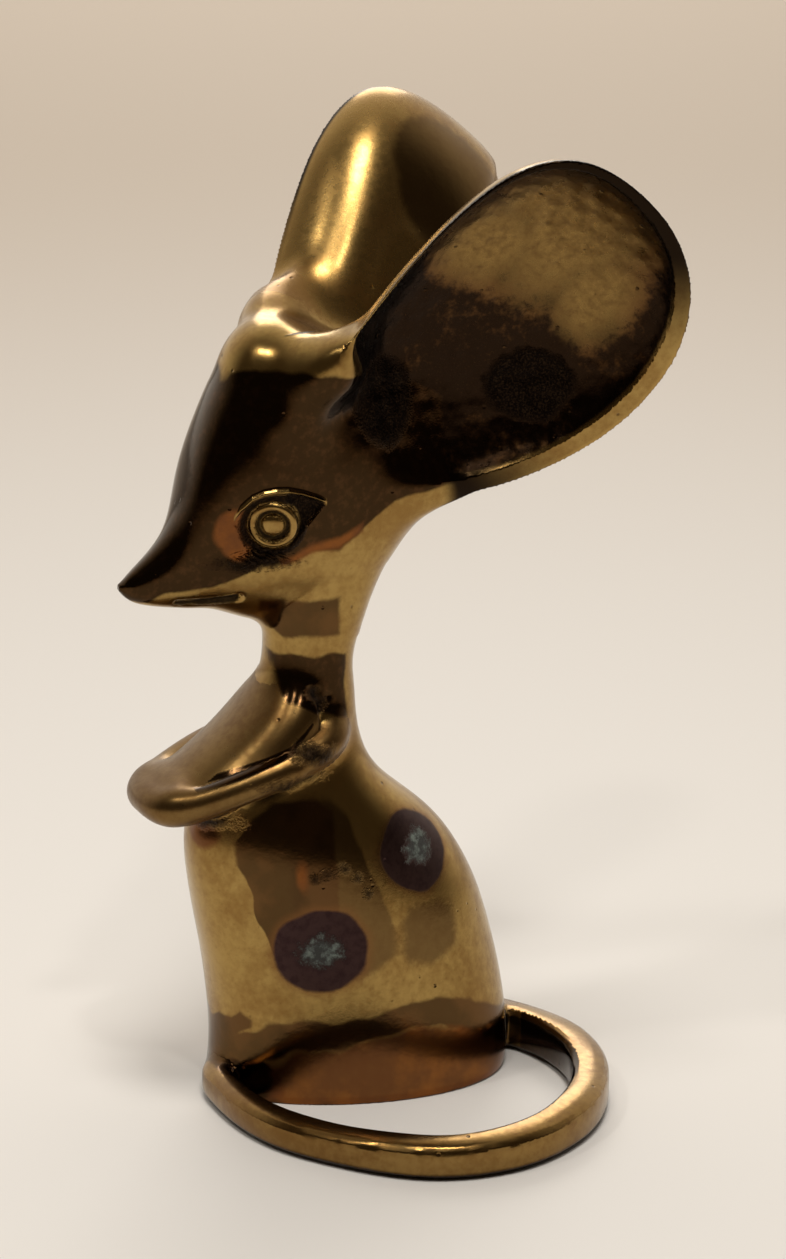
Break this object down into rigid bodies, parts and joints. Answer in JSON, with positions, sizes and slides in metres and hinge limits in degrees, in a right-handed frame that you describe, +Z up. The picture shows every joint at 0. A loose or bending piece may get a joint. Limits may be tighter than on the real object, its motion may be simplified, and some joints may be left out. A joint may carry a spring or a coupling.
{
  "type": "mouse figurine",
  "caption": "Sitting mouse ornament in cast brass with large cupped ears, a long snout, arms held out in front and a tail that curls round the base.",
  "frame": {"origin": "centre of the overall bounding box at its bottom, on the surface that the figurine stands on", "axes": "+Z up; the mouse faces -Y; its own left side, where the tail lies, is +X"},
  "size_m": [0.0806, 0.0758, 0.141],
  "materials": {
    "body_brass": "polished and tarnished, with dark round spots",
    "head_brass": "polished, brown patina",
    "ear_brass": "polished outside, rough cast and dark inside the scoop",
    "eye_brass": "turned, worn, dark in the grooves",
    "arm_brass": "polished, worn",
    "tail_brass": "polished, worn bright along the top"
  },
  "bodies": {
    "root": {"body_shell": "body_brass", "head": "head_brass", "left_ear": "ear_brass", "right_ear": "ear_brass", "left_eye": "eye_brass", "right_eye": "eye_brass", "arms": "arm_brass", "tail": "tail_brass"}
  },
  "joints": []
}
